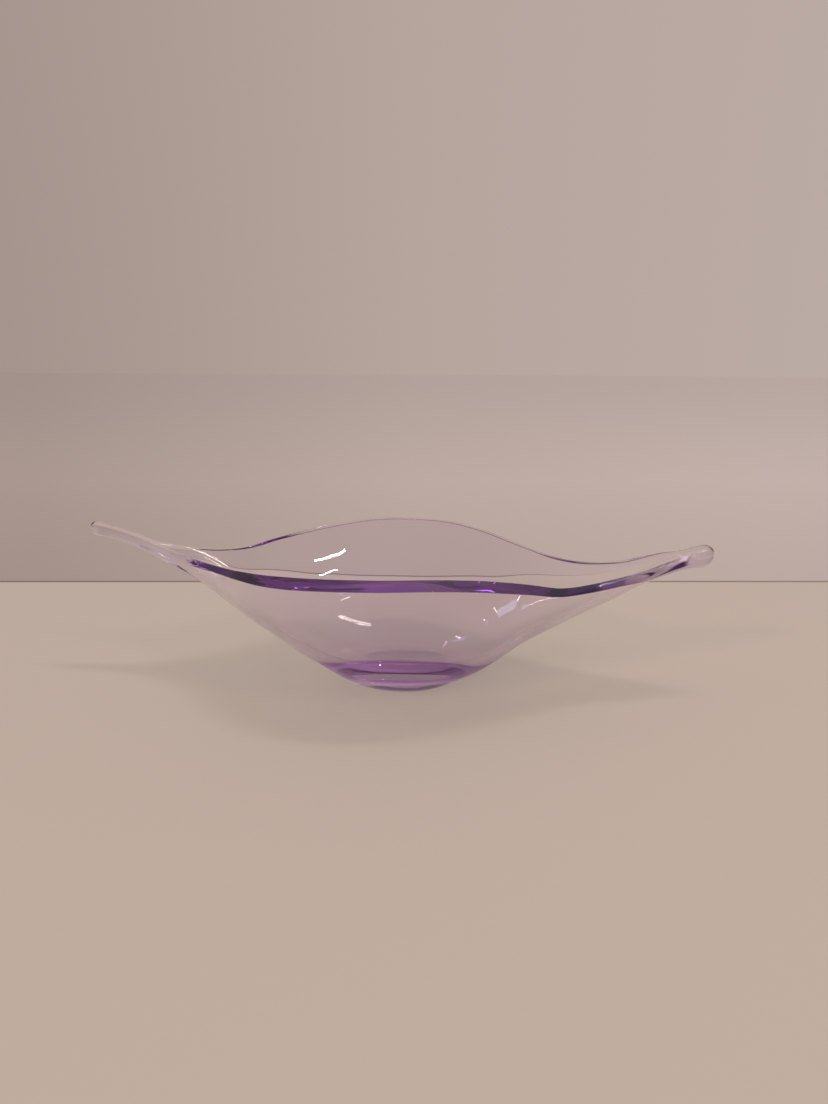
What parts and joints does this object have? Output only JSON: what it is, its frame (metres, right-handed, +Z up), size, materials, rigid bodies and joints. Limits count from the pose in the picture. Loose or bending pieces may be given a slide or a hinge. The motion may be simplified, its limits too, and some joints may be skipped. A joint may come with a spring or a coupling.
{
  "type": "art glass bowl",
  "caption": "Hand-worked lilac glass boat bowl with arched rims, two pulled solid handles and a ground foot.",
  "frame": {"origin": "on the table, under the middle of the bowl's bounding box; the foot's middle is 6 mm towards +X", "axes": "+X along the bowl to the right-hand tip, +Y towards the back rim, +Z up"},
  "size_m": [0.4, 0.1786, 0.1021],
  "materials": {
    "lilac_glass": "polished"
  },
  "bodies": {
    "root": {"bowl_wall": "lilac_glass", "base_pad": "lilac_glass", "front_lip": "lilac_glass", "back_lip": "lilac_glass", "left_handle": "lilac_glass", "right_handle": "lilac_glass", "left_tip_drop": "lilac_glass", "right_tip_drop": "lilac_glass"}
  },
  "joints": []
}
